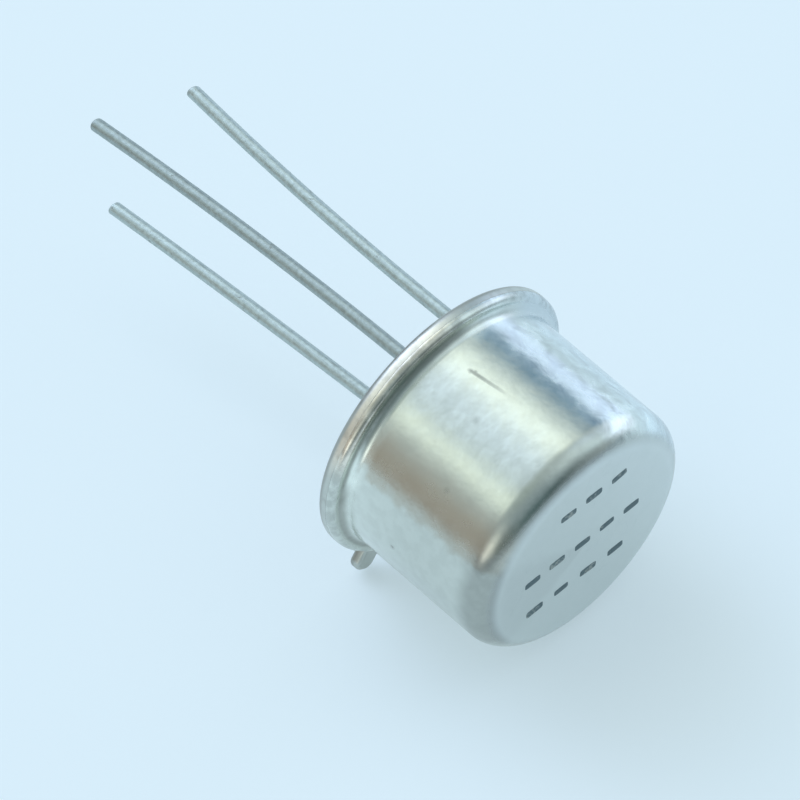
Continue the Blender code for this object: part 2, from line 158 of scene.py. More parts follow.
class FinishSettings(bpy.types.PropertyGroup):
    """Colours of the finishes."""

    cap: colour("Cap plating", "Satin nickel of the cap", (0.70, 0.735, 0.68))
    header: colour("Header plating", "Plating of the header and its tab", (0.60, 0.625, 0.585))
    lead: colour("Lead plating", "Dull plating of the leads", (0.465, 0.53, 0.515))
    glass: colour("Seal glass", "Dark sealing glass", (0.035, 0.055, 0.055))
    preform: colour("Solder", "Gold solder under the chip", (0.80, 0.62, 0.28))
    silicon: colour("Silicon", "Polished silicon", (0.16, 0.17, 0.20))
    bond_wire: colour("Bond wire", "Drawn wire between chip and posts", (0.82, 0.82, 0.80))
    ink: colour("Ink", "Faded ink on the cap", (0.095, 0.15, 0.165))
    floor: colour("Floor", "Pale surface under the transistor", (0.90, 0.95, 0.98))
    backdrop: colour("Floor's plain colour", "Shown besides the floor's lit colour", (0.70, 0.87, 0.96))


class StudioSettings(bpy.types.PropertyGroup):
    """Camera, floor and light."""

    camera_place: FloatVectorProperty(
        name="Camera", description="Place of the camera", size=3, subtype='TRANSLATION',
        default=(-0.08598176, -0.11606178, 0.1836993),
    )
    camera_right: FloatVectorProperty(
        name="Camera right", description="Direction to the picture's right", size=3,
        default=(0.72169545, -0.68633729, -0.08998202),
    )
    camera_up: FloatVectorProperty(
        name="Camera up", description="Direction to the picture's top", size=3,
        default=(0.58210717, 0.53140992, 0.61543056),
    )
    lens: FloatProperty(name="Lens", description="Focal length", default=360.0, unit='CAMERA')
    floor_radius: length("Floor radius", "Radius of the floor", 0.8)
    light: FloatProperty(name="Light", description="Strength of the studio's light", default=1.0)
    lift: FloatProperty(
        name="Shadow lift", description="Share of the floor that shows its plain colour", default=0.45
    )


def package_frame():
    """The package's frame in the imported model: the cap's top gives its axis and the tab's tip its x."""
    mounts = {mount["name"]: mount for mount in frame["record"]["mounts"]}
    up = Vector(mounts["cap_top"]["axis"]).normalized()
    top = Vector(mounts["cap_top"]["pos_m"])
    seat = Vector(mounts["seating_plane"]["pos_m"])
    origin = top - up * (top - seat).dot(up)
    mesh = frame["nodes"]["header"].data
    points = np.empty(len(mesh.vertices) * 3)
    mesh.vertices.foreach_get("co", points)
    spokes = points.reshape(-1, 3) - np.array(origin)
    spokes -= np.outer(spokes @ np.array(up), up)
    reach = np.linalg.norm(spokes, axis=1)
    tip = spokes[reach > reach.max() - FIT].mean(axis=0)
    along = Vector(tip)
    along = (along - up * along.dot(up)).normalized()
    across = up.cross(along)
    place = Matrix((along, across, up)).transposed().to_4x4()
    place.translation = origin
    return place


PLACE = package_frame()


# Surfaces


def arc(centre, radius, start, end, steps):
    """Points on a circle: its centre plus its radius times cosine and sine of an evenly stepped angle."""
    angle = np.radians(np.linspace(start, end, steps + 1))
    return np.stack((centre[0] + radius * np.cos(angle), centre[1] + radius * np.sin(angle)), axis=1)


def line(start, end, steps):
    """Points evenly along a straight line, without its ends."""
    share = np.linspace(0.0, 1.0, steps + 1)[1:-1, None]
    return np.array(start) * (1.0 - share) + np.array(end) * share


def turned(profile, around, place=(0.0, 0.0)):
    """A profile turned about an upright line: its radius times cosine and sine of u, and its height."""
    u = np.linspace(0.0, 2.0 * math.pi, around, endpoint=False)[:, None]
    radius, height = profile[:, 0], profile[:, 1]
    return np.stack(
        (place[0] + radius * np.cos(u), place[1] + radius * np.sin(u), height + 0.0 * u), axis=2
    )


def ring_faces(around, rings, shells):
    """Corners of every quad between neighbouring rings, where each ring closes on itself."""
    i = np.arange(around)[:, None]
    j = np.arange(rings - 1)[None, :]
    after = (i + 1) % around * rings
    quad = np.stack((i * rings + j, after + j, after + j + 1, i * rings + j + 1), axis=2).reshape(-1, 4)
    return (np.arange(shells)[:, None, None] * (around * rings) + quad).reshape(-1, 4)


def merge(mesh, closed=True):
    """Merges the points that lie together, and turns a closed mesh's faces outwards."""
    shape = bmesh.new()
    shape.from_mesh(mesh)
    bmesh.ops.remove_doubles(shape, verts=shape.verts, dist=MERGE)
    if closed and shape.calc_volume(signed=True) < 0.0:
        bmesh.ops.reverse_faces(shape, faces=shape.faces)
    shape.to_mesh(mesh)
    shape.free()


def ring_mesh(name, grid, sharp=None):
    """A closed mesh from rings whose first and last shrink to points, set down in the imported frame.

    The grid is shells by steps round by rings by three, in the package's frame. Its points are turned
    and moved with the package, its poles are merged, and its faces are turned outwards.
    """
    grid = grid if grid.ndim == 4 else grid[None]
    shells, around, rings = grid.shape[:3]
    place = np.array(PLACE)
    points = grid.reshape(-1, 3) @ place[:3, :3].T + place[:3, 3]
    faces = ring_faces(around, rings, shells)
    mesh = bpy.data.meshes.new(name)
    mesh.vertices.add(len(points))
    mesh.vertices.foreach_set("co", points.ravel())
    mesh.loops.add(faces.size)
    mesh.loops.foreach_set("vertex_index", faces.ravel())
    mesh.polygons.add(len(faces))
    mesh.polygons.foreach_set("loop_start", np.arange(len(faces)) * 4)
    mesh.update(calc_edges=True)
    merge(mesh)
    mesh.shade_smooth()
    if sharp:
        mesh.set_sharp_from_angle(angle=math.radians(sharp))
    return mesh


def add_piece(name, mesh, material, nodes=()):
    """A finished piece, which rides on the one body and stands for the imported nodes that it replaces."""
    mesh.materials.clear()
    mesh.materials.append(material)
    obj = bpy.data.objects.new(name, mesh)
    bpy.context.scene.collection.objects.link(obj)
    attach(obj, "root")
    if nodes:
        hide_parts(*nodes)
    return obj


def combined(mesh, tools, sharp):
    """A mesh with tool meshes joined to it or cut from it, each given with its operation."""
    body = bpy.data.objects.new(mesh.name, mesh)
    bpy.context.scene.collection.objects.link(body)
    helpers = []
    for tool, operation in tools:
        helper = bpy.data.objects.new(tool.name, tool)
        bpy.context.scene.collection.objects.link(helper)
        helpers.append(helper)
        modifier = body.modifiers.new(tool.name, 'BOOLEAN')
        modifier.operation = operation
        modifier.solver = 'EXACT'
        modifier.object = helper
    graph = bpy.context.evaluated_depsgraph_get()
    result = bpy.data.meshes.new_from_object(body.evaluated_get(graph))
    result.name = mesh.name
    for obj in [body, *helpers]:
        bpy.data.objects.remove(obj, do_unlink=True)
    result.shade_smooth()
    result.set_sharp_from_angle(angle=math.radians(sharp))
    return result


def rod(name, place, diameter, bottom, top, around=48):
    """An upright round rod, as a tool."""
    radius = diameter / 2
    profile = np.array(((0.0, top), (radius, top), (radius, bottom), (0.0, bottom)))
    return ring_mesh(name, turned(profile, around, place))


# Sizes that several pieces share


def round_share():
    """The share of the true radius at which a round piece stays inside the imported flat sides."""
    return math.cos(math.pi / bpy.context.scene.transistor_can.flat_sides)


def can_radii():
    """Radii of the wall, the header's flange, the cap's flange and the platform."""
    can = bpy.context.scene.transistor_can
    wall = can.cap_diameter / 2
    flange = wall + can.flange_reach
    return wall, flange, flange - can.cap_setback, wall - can.cap_sheet - can.platform_gap


def bend_centre(platform):
    """Centre of the bend between the header's skirt, at the platform's radius, and its flange."""
    can = bpy.context.scene.transistor_can
    return platform + can.skirt_root, can.header_sheet + can.skirt_root


def lead_place(index):
    """Where a lead passes the seating plane."""
    leads = bpy.context.scene.transistor_leads
    angle = math.radians(leads.angles[index])
    radius = can_radii()[3] - leads.inset
    return np.array((radius * math.cos(angle), radius * math.sin(angle)))


# Shader maths


class Wire:
    """An output socket that can be reckoned with: each operation adds its Math node."""

    def __init__(self, graph, socket):
        self.graph = graph
        self.socket = socket

    def math(self, operation, first, *others):
        values = dict(enumerate((first, *others)))
        return self.graph.add("ShaderNodeMath", {"operation": operation}, values)

    def __add__(self, other):
        return self.math('ADD', self, other)

    def __sub__(self, other):
        return self.math('SUBTRACT', self, other)

    def __rsub__(self, other):
        return self.math('SUBTRACT', other, self)

    def __mul__(self, other):
        return self.math('MULTIPLY', self, other)

    def __truediv__(self, other):
        return self.math('DIVIDE', self, other)

    def __pow__(self, other):
        return self.math('POWER', self, other)

    __radd__ = __add__
    __rmul__ = __mul__

    def absolute(self):
        return self.math('ABSOLUTE', self)

    def largest(self, other):
        return self.math('MAXIMUM', self, other)


class Graph:
    """One node tree that is written as expressions."""

    def __init__(self, tree):
        self.tree = tree
        tree.nodes.clear()

    def add(self, kind, settings=None, inputs=None, output=0):
        """Adds a node: first its settings, then the values or links of its sockets. Gives one output."""
        node = self.tree.nodes.new(kind)
        for name, value in (settings or {}).items():
            setattr(node, name, value)
        for key, value in (inputs or {}).items():
            if isinstance(value, Wire):
                self.tree.links.new(value.socket, node.inputs[key])
            else:
                node.inputs[key].default_value = value
        return Wire(self, node.outputs[output]) if node.outputs else None

    def smooth(self, value, low, high):
        """0 below low and 1 above high, with a soft step between. Low above high turns it round."""
        values = {0: value, 1: low, 2: high, 3: 0.0, 4: 1.0}
        return self.add("ShaderNodeMapRange", {"interpolation_type": 'SMOOTHSTEP'}, values)

    def noise(self, vector, scale, detail=2.0, roughness=0.5, distortion=0.0):
        """Soft noise from 0 to 1."""
        values = {
            "Vector": vector, "Scale": scale, "Detail": detail, "Roughness": roughness,
            "Distortion": distortion,
        }
        return self.add("ShaderNodeTexNoise", {"noise_dimensions": '3D'}, values)

    def stretched(self, vector, scale, place=(0.0, 0.0, 0.0)):
        """A vector scaled by three factors and moved."""
        values = {"Vector": vector, "Scale": scale, "Location": place}
        return self.add("ShaderNodeMapping", {"vector_type": 'POINT'}, values)

    def parts(self, vector):
        """The three numbers of a vector."""
        first = self.add("ShaderNodeSeparateXYZ", None, {0: vector})
        return [Wire(self, output) for output in first.socket.node.outputs]

    def joined(self, x, y, z):
        """A vector from three numbers."""
        return self.add("ShaderNodeCombineXYZ", None, {0: x, 1: y, 2: z})

    def mixed(self, share, first, second):
        """The first colour at 0 and the second at 1."""
        values = {0: share, 6: first, 7: second}
        return self.add("ShaderNodeMix", {"data_type": 'RGBA'}, values, 2)

    def vectors(self, operation, first, second, output=0):
        """Vector maths on two vectors."""
        return self.add("ShaderNodeVectorMath", {"operation": operation}, {0: first, 1: second}, output)

    def shaded(self, tone, share):
        """A colour times a number."""
        return self.add("ShaderNodeVectorMath", {"operation": 'SCALE'}, {0: tone, "Scale": share})

    def bump(self, height, distance):
        """A normal from a height that is counted in a distance in metres."""
        return self.add("ShaderNodeBump", None, {"Height": height, "Distance": distance, "Strength": 1.0})

    def principled(self, inputs):
        """The surface, with its output."""
        shader = self.add("ShaderNodeBsdfPrincipled", None, inputs)
        self.add("ShaderNodeOutputMaterial", {"target": 'ALL'}, {0: shader})


def tinted(tone, *factors):
    """A colour with full alpha, times one factor for all its parts or one for each."""
    factors = factors if len(factors) == 3 else (factors or (1.0,)) * 3
    return (*(min(1.0, part * factor) for part, factor in zip(tone, factors)), 1.0)


class Finish(Graph):
    """A material whose patterns lie in the package's frame, in millimetres."""

    def __init__(self, name):
        self.material = bpy.data.materials.new(name)
        self.material.use_nodes = True
        super().__init__(self.material.node_tree)
        back = PLACE.inverted()
        coordinate = self.add("ShaderNodeTexCoord", None, None, "Object")
        values = {
            "Vector": coordinate, "Location": back.translation * MM, "Rotation": back.to_euler(),
            "Scale": (MM, MM, MM),
        }
        self.place = self.add("ShaderNodeMapping", {"vector_type": 'POINT'}, values)
        self.x, self.y, self.z = self.parts(self.place)
        self.radius = (self.x * self.x + self.y * self.y) ** 0.5
        self.turn = self.add("ShaderNodeMath", {"operation": 'ARCTAN2'}, {0: self.y, 1: self.x})

    def sector(self, angle, outer, inner, wander=0.0):
        """1 round a direction from the tab in degrees, and 0 from the outer half width in radians."""
        away = (self.turn - math.radians(angle)).absolute()
        return self.smooth(away + wander, outer, inner)

    def scratch(self, radius, angle, low, high, slope, width):
        """A straight mark on the wall between two heights, at an angle from the tab in degrees."""
        along = self.turn - math.radians(angle)
        offset = (along * radius - (self.z - low) * slope).absolute()
        ends = self.smooth(self.z, low, low + 0.15) * self.smooth(self.z, high, high - 0.4)
        return self.smooth(offset, width, width * 0.2) * ends

    def specks(self, radius, places):
        """Small round marks on the wall, each by its angle in degrees, height, size and strength."""
        marks = []
        for angle, height, size, strength in places:
            across = (self.turn - math.radians(angle)) * radius
            up = self.z - height
            marks.append(self.smooth((across * across + up * up) ** 0.5, size, 0.0) * strength)
        return reduce(Wire.largest, marks)

    def hairlines(self, scale, stretch, share):
        """Fine scattered lines: the places where a stretched noise passes its middle, thinned out."""
        lines = self.noise(self.stretched(self.place, stretch), scale, 3.0, 0.6, 0.4)
        thin = self.smooth((lines - 0.5).absolute(), 0.012, 0.002)
        patches = self.noise(self.place, scale * 0.35, 1.0)
        return thin * self.smooth(patches, 1.0 - share, 1.08 - share)

    def metal(self, base, gloss, height, distance):
        """The material as bare metal, with its colour, roughness and a bump's height and distance."""
        values = {"Base Color": base, "Metallic": 1.0, "Roughness": gloss}
        self.principled({**values, "Normal": self.bump(height, distance)})
        return self.material


# The cap's scratch: angle from the tab in degrees, lowest and highest point, slope and half width
SCRATCH = (-141.9, 1.62, 3.25, -0.13, 0.085)
# Small marks on the cap: angle from the tab in degrees, height and size in millimetres, strength
SCRATCH_START = ((-142.1, 1.78, 0.12, 1.0), (-142.9, 1.88, 0.11, 1.0))
CAP_SPECKS = ((-56.4, 2.60, 0.13, 1.0), (-128.0, 2.98, 0.19, 0.6), (-99.0, 3.61, 0.16, 0.5))
# Colours that wear and marks bring to the plating, and those of painted shade and a painted highlight
# Dark colour of the cap's scratch and specks, and of the painted shade in its flange's valley
CAP_MARK_AND_SHADE = (0.20, 0.20, 0.17, 1.0)
# Dark colour of the header's mottled marks and of its painted edge shade
HEADER_MARK_AND_SHADE = (0.24, 0.235, 0.21, 1.0)
LEAD_TARNISH = (0.27, 0.275, 0.25, 1.0)
RAW_CUT = (0.30, 0.31, 0.29, 1.0)
# Warm colour of the painted highlight on the flange's bead
WARM_HIGHLIGHT = (0.95, 0.88, 0.76, 1.0)
# How the three leads differ in brightness: emitter, base and collector
LEAD_TONES = (1.04, 1.06, 0.84)


def plated_cap():
    """Satin nickel, drawn, tumbled and scratched, with painted shade, painted highlights and a painted
    reflection. Lengths in millimetres, angles of turn in radians.
    """
    can = bpy.context.scene.transistor_can
    tone = bpy.context.scene.transistor_finishes.cap
    wall = can.cap_diameter / 2 * MM
    top = can.cap_height * MM
    finish = Finish("satin_nickel_cap")
    place, z, radius, turn = finish.place, finish.z, finish.radius, finish.turn
    smooth, noise, sector, mixed = finish.smooth, finish.noise, finish.sector, finish.mixed
    # The plating's own unevenness
    on_top = smooth(z, top - 0.25, top - 0.02)
    mottle = noise(place, 2.4, 3.0, 0.55)
    cloud = noise(place, 1.1, 2.0, 0.5)
    grain = noise(place, 9.0, 2.0, 0.5)
    blotch = smooth(noise(place, 2.7, 3.0, 0.5), 0.36, 0.64)
    # The side of the wall that is frosted, and how far round it reaches
    frost = noise(finish.stretched(place, (1.0, 1.0, 0.85)), 2.1, 2.0, 0.5, 0.6)
    frosted = smooth(finish.x, wall * -0.55, wall * -0.75) * (1.0 - on_top)
    frosted = frosted * smooth(finish.y + (cloud - 0.5) * 1.2, wall * -0.36, wall * -0.22)
    far_side = frosted * smooth(finish.y, wall * -0.05, wall * 0.25)
    dulled = frosted * smooth(z, 0.95, 1.35)
    # Scratch, specks and hairlines
    scuffs = finish.hairlines(1.6, (0.4, 1.0, 1.0), 0.45) * on_top
    nick = finish.scratch(wall, *SCRATCH) * smooth(z, 3.6, 1.9)
    nick = nick.largest(finish.specks(wall, SCRATCH_START))
    specks = finish.specks(wall, CAP_SPECKS)
    # The root of the flange: painted shade in its valley, left off the crown and the glint, and painted
    # highlights on its fillet
    valley = smooth(z, 0.84, 0.66) * smooth(radius, wall + 0.31, wall + 0.18)
    at_root = smooth(z, 1.35, 0.85)
    crown = smooth(turn, -2.48, -2.80).largest(smooth(turn, 1.3, 1.7)) * at_root
    # A painted highlight on the fillet, round the side away from the tab
    root_highlight = sector(-163.0, 0.24, 0.10) * at_root
    # A painted glint on the fillet, a quarter turn round from the tab
    glint = sector(-80.0, 0.28, 0.08) * smooth(z, 1.15, 0.85)
    glint = glint * smooth(radius, wall + 0.18, wall + 0.07)
    # Painted shade in the valley, uneven with the mottle
    valley_shade = valley * (1.0 - crown) * (1.0 - glint) * (0.30 + mottle * 0.42)
    # The cap's scratch and specks, with the painted valley shade
    marks_and_shade = (nick * 0.62).largest(specks * 0.5).largest(valley_shade)
    # A painted brown reflection down the wall
    around = turn + math.radians(83.0) + (cloud - 0.5) * 0.14 + (blotch - 0.5) * 0.03
    brown_reflection = smooth(around, 0.10, 0.03) * smooth(around, -0.46, -0.16)
    brown_reflection = brown_reflection * smooth(z, 1.02, 1.22) * (1.0 - on_top) * (0.45 + mottle)
    # Painted shade on the cap's corner and on the wall at the tab's side, with the bead's mottle and the
    # frost's unevenness; below 0 it is a painted highlight
    tab_side = sector(-53.0, 0.70, 0.40, (mottle - 0.5) * 0.3)
    corner = smooth(z, 4.95, 5.65) * smooth(radius, 3.38, 3.68)
    bead = smooth(z, 0.66, 0.60) * smooth(radius, wall + 0.22, wall + 0.30)
    # A painted highlight on the corner, round the side away from the tab
    corner_highlight = smooth(turn.absolute(), 2.74, 2.96) * smooth(radius, 3.66, 3.86)
    worn = corner * (0.14 + tab_side * 0.20 - corner_highlight * 0.30)
    worn = worn + tab_side * smooth(z, 1.4, 3.6) * 0.07
    worn = worn + tab_side * smooth(z, 0.9, 2.0) * smooth(z, 5.5, 4.9) * 0.06
    worn = worn + bead * blotch * 0.26 + crown * 0.04 - root_highlight * 0.28 - glint * 0.28
    worn = worn - dulled * (frost - 0.45) * 0.9
    # Colour, roughness and relief
    bright = mixed(blotch * 0.5 + mottle * 0.5, tinted(tone, 0.94), tinted(tone, 1.06))
    # Bluer on the top, the frosted side and the far side: a painted reflection of the pale bluish floor
    cool = mixed(on_top, bright, tinted(tone, 0.97, 0.985, 1.05))
    cool = mixed(frosted, cool, tinted(tone, 0.955, 0.985, 1.03))
    cool = mixed(far_side, cool, tinted(tone, 0.93, 0.985, 1.10))
    # Mixes in the painted brown reflection
    warm = mixed(brown_reflection * 0.85, cool, tinted(tone, 0.86, 0.80, 0.75))
    # A painted warm highlight on the bead, round from the tab
    bead_highlight = bead * sector(-112.0, 0.72, 0.45)
    shown = finish.shaded(mixed(bead_highlight * 0.85, warm, WARM_HIGHLIGHT), 1.0 - worn)
    base = mixed(marks_and_shade, shown, CAP_MARK_AND_SHADE)
    gloss = 0.19 + on_top * 0.17 + (mottle - 0.5) * 0.16 + (cloud - 0.5) * 0.10 + grain * 0.02
    gloss = gloss + scuffs * 0.12 + valley * 0.06 + smooth(z, 1.25, 0.95) * 0.06
    gloss = gloss + marks_and_shade * 0.2 + brown_reflection * 0.05 + dulled * (frost - 0.4) * 0.35
    waves = noise(place, 0.75, 1.0, 0.4) * 3.0 + noise(place, 2.3, 2.0, 0.5) * 1.5
    height = waves + grain * 0.03 + blotch * 0.18 + dulled * frost * 2.2 - nick * 0.6
    return finish.metal(base, gloss, height, 0.0000045)


def plated_header():
    """Plated sheet of the header: stamped grain and mottled marks, with painted shade on the flange's
    lower, sheared edge and a painted highlight on its edge.
    """
    tone = bpy.context.scene.transistor_finishes.header
    rim = can_radii()[1] * MM
    finish = Finish("plated_header")
    place, z, radius = finish.place, finish.z, finish.radius
    smooth, noise, sector, mixed = finish.smooth, finish.noise, finish.sector, finish.mixed
    mottle = noise(place, 3.1, 4.0, 0.6)
    grain = noise(place, 24.0, 3.0, 0.7)
    streaks = finish.stretched(finish.joined(finish.turn * 9.0, z * 0.6, radius), (6.0, 1.0, 1.0))
    streaks = noise(streaks, 1.5, 3.0, 0.6) * smooth(radius, rim - 0.08, rim - 0.02)
    lines = finish.hairlines(2.4, (1.0, 0.45, 1.0), 0.4)
    at_rim = smooth(radius, rim - 0.35, rim - 0.15)
    on_tab = smooth(radius, rim + 0.05, rim + 0.25)
    # Painted shade on the flange's lower edge
    lower_edge_shade = smooth(z, 0.27, 0.12) * smooth(radius, rim - 0.2, rim - 0.1)
    marks_and_shade = lower_edge_shade * 0.62 + smooth(mottle, 0.42, 0.75) * 0.30 * (1.0 - lower_edge_shade)
    # A painted dark line along the flange's lower edge, round from the tab
    outer_line_shade = sector(-122.0, 0.62, 0.28) * at_rim * smooth(z, 0.25, 0.13)
    marks_and_shade = marks_and_shade.largest(outer_line_shade * (0.55 + mottle * 0.7)).largest(on_tab * (0.02 + mottle * 0.34))
    bright = mixed(mottle, tinted(tone, 0.92), tinted(tone, 1.05))
    # The same painted warm highlight on the header flange's edge
    bead_highlight = sector(-112.0, 0.72, 0.45) * at_rim * smooth(z, 0.12, 0.24)
    base = mixed(marks_and_shade, mixed(bead_highlight * 0.85, bright, WARM_HIGHLIGHT), HEADER_MARK_AND_SHADE)
    gloss = 0.26 + (mottle - 0.5) * 0.14 + grain * 0.06 + streaks * 0.14 + lines * 0.16
    height = mottle * 0.8 + grain * 0.08 + streaks * 0.5 - lines * 0.06
    return finish.metal(base, gloss, height, 0.000004)


def plated_lead(name, index):
    """Drawn wire with a dull dipped plating: draw lines, dips, flecks, nicks and a raw cut end."""
    leads = bpy.context.scene.transistor_leads
    end = (leads.reach + leads.trims[index]) * MM
    tone = tinted(bpy.context.scene.transistor_finishes.lead, LEAD_TONES[index])
    finish = Finish(name)
    place, smooth, noise, mixed = finish.place, finish.smooth, finish.noise, finish.mixed
    draw = finish.stretched(place, (9.0, 9.0, 0.5), (index * 3.0, 0.0, 0.0))
    draw = noise(draw, 1.6, 3.0, 0.6)
    mottle = noise(place, 3.4, 5.0, 0.62)
    fleck = noise(place, 8.0, 2.0, 0.6) - 0.5
    nicks = smooth(noise(finish.stretched(place, (1.0, 1.0, 0.6)), 6.5, 2.0), 0.66, 0.76)
    cut = smooth(finish.z, 0.16 - end, 0.04 - end)
    shade = (nicks * 0.45).largest(smooth(mottle, 0.58, 0.78) * 0.35)
    bright = mixed(draw, tinted(tone, 0.93), tinted(tone, 1.07))
    dull = finish.shaded(mixed(shade, bright, LEAD_TARNISH), fleck * 0.65 + 1.0)
    base = mixed(cut * 0.6, dull, RAW_CUT)
    gloss = 0.41 + draw * 0.08 + (mottle - 0.5) * 0.26 + nicks * 0.12 + cut * 0.12 + fleck * 0.15
    height = draw * 0.35 + mottle * 1.3 - nicks * 0.5
    return finish.metal(base, gloss, height, 0.000006)


def sealing_glass():
    """Dark fused glass: a glossy skin with swirls, seeds and a faint bloom near the metal."""
    tone = bpy.context.scene.transistor_finishes.glass
    rim = can_radii()[3] * MM
    finish = Finish("sealing_glass")
    swirl = finish.noise(finish.place, 1.3, 4.0, 0.55, 1.2)
    seeds = finish.smooth(finish.noise(finish.place, 11.0, 1.0), 0.70, 0.76)
    bloom = finish.smooth(finish.radius, rim - 0.7, rim + 0.1)
    dark = finish.mixed(swirl, tinted(tone, 0.7), tinted(tone, 1.5))
    base = finish.mixed((seeds * 0.35).largest(bloom * 0.25), dark, (0.16, 0.19, 0.18, 1.0))
    gloss = 0.08 + swirl * 0.08 + seeds * 0.2 + bloom * 0.1
    normal = finish.bump(swirl * 2.0 + seeds * 0.3, 0.000006)
    finish.principled(
        {"Base Color": base, "Roughness": gloss, "IOR": 1.52, "Coat Weight": 0.4, "Normal": normal}
    )
    return finish.material


def worn_ink():
    """Faded stamping ink, thin in places, where the metal's tone comes through."""
    finishes = bpy.context.scene.transistor_finishes
    finish = Finish("worn_ink")
    wear = finish.noise(finish.place, 9.0, 4.0, 0.65)
    patch = finish.noise(finish.place, 1.2, 2.0, 0.5)
    thin = finish.smooth(wear + (patch - 0.5) * 0.7, 0.50, 0.70)
    base = finish.mixed(thin * 0.75, tinted(finishes.ink), tinted(finishes.cap, 0.62))
    gloss = 0.55 - thin * 0.12
    finish.principled({"Base Color": base, "Metallic": thin * 0.8, "Roughness": gloss})
    return finish.material


def inner_metal(name, tone, roughness, scale, stretch=(1.0, 1.0, 1.0)):
    """Metal of a small inner part, with a fine uneven skin."""
    finish = Finish(name)
    skin = finish.noise(finish.stretched(finish.place, stretch), scale, 4.0, 0.6)
    base = finish.mixed(skin, tinted(tone, 0.85), tinted(tone, 1.12))
    return finish.metal(base, roughness + (skin - 0.5) * 0.2, skin, 0.000001)


def polished_silicon():
    """The chip: polished silicon with its two comb-shaped metal contacts."""
    tone = bpy.context.scene.transistor_finishes.silicon
    finish = Finish("polished_silicon")
    across = (finish.x - finish.y) * math.sqrt(0.5)
    along = (finish.x + finish.y) * math.sqrt(0.5)
    teeth = finish.add("ShaderNodeMath", {"operation": 'PINGPONG'}, {0: across, 1: 0.05})
    field = finish.smooth(along.absolute(), 0.30, 0.28) * finish.smooth(across.absolute(), 0.30, 0.28)
    fingers = finish.smooth(teeth, 0.028, 0.032) * field
    haze = finish.noise(finish.place, 12.0, 3.0, 0.6)
    plain = finish.mixed(haze, tinted(tone, 0.9), tinted(tone, 1.15))
    base = finish.mixed(fingers, plain, (0.80, 0.79, 0.76, 1.0))
    gloss = 0.10 + haze * 0.06 + fingers * 0.18
    finish.principled({"Base Color": base, "Metallic": fingers * 0.5 + 0.5, "Roughness": gloss})
    return finish.material


# Pieces


class TRANSISTOR_OT_cap(bpy.types.Operator):
    """Makes the drawn cap with its out-turned weld flange"""

    bl_idname = "transistor.cap"
    bl_label = "Make Cap"

    def execute(self, context):
        can = context.scene.transistor_can
        wall, _, rim, _ = can_radii()
        sheet = can.cap_sheet
        corner = can.cap_corner
        edge = can.cap_edge
        seam = can.seam_edge
        bottom = can.header_sheet + can.weld_gap
        top = bottom + sheet
        root = min(can.cap_root, rim - edge - wall)
        corner_centre = (wall - corner, can.cap_height - corner)
        root_centre = (wall + root, top + root)
        profile = np.vstack((
            (0.0, can.cap_height),
            line((0.0, can.cap_height), (wall - corner, can.cap_height), 12),
            arc(corner_centre, corner, 90, 0, 20),
            line((wall, can.cap_height - corner), (wall, top + root), 14),
            arc(root_centre, root, 180, 270, 12),
            arc((rim - edge, top - edge), edge, 90, 0, 12),
            arc((rim - seam, bottom + seam), seam, 0, -90, 4),
            arc(root_centre, root + sheet, 270, 180, 10),
            arc(corner_centre, corner - sheet, 0, 90, 10),
            (0.0, can.cap_height - sheet),
        ))
        profile[:, 0] *= round_share()
        mesh = ring_mesh("cap_shell", turned(profile, can.around))
        add_piece("cap_shell", mesh, plated_cap(), ["cap"])
        return {'FINISHED'}


def header_outline(can, flange):
    """The flange's rim and the tab, once round: straight tab sides between arcs, then the circle.

    The upper half runs from the middle of the tab's tip round its corner, back along its side, round
    the root's fillet and along the circle. The lower half is its mirror image.
    """
    half = can.tab_width / 2
    corner = can.tab_corner
    root = can.tab_root
    tip = flange + can.tab_length
    root_x = math.sqrt((flange + root) ** 2 - (half + root) ** 2)
    root_angle = math.degrees(math.atan2(half + root, root_x))
    upper = np.vstack((
        line((tip, -half + corner), (tip, half - corner), 6)[2:],
        arc((tip - corner, half - corner), corner, 0, 90, 10),
        line((tip - corner, half), (root_x, half), 10),
        arc((root_x, half + root), root, 270, 180 + root_angle, 8),
        arc((0.0, 0.0), flange, root_angle, 180, 140)[1:-1],
    ))
    lower = upper[1:][::-1] * (1.0, -1.0)
    return np.vstack((upper, [(-flange, 0.0)], lower))


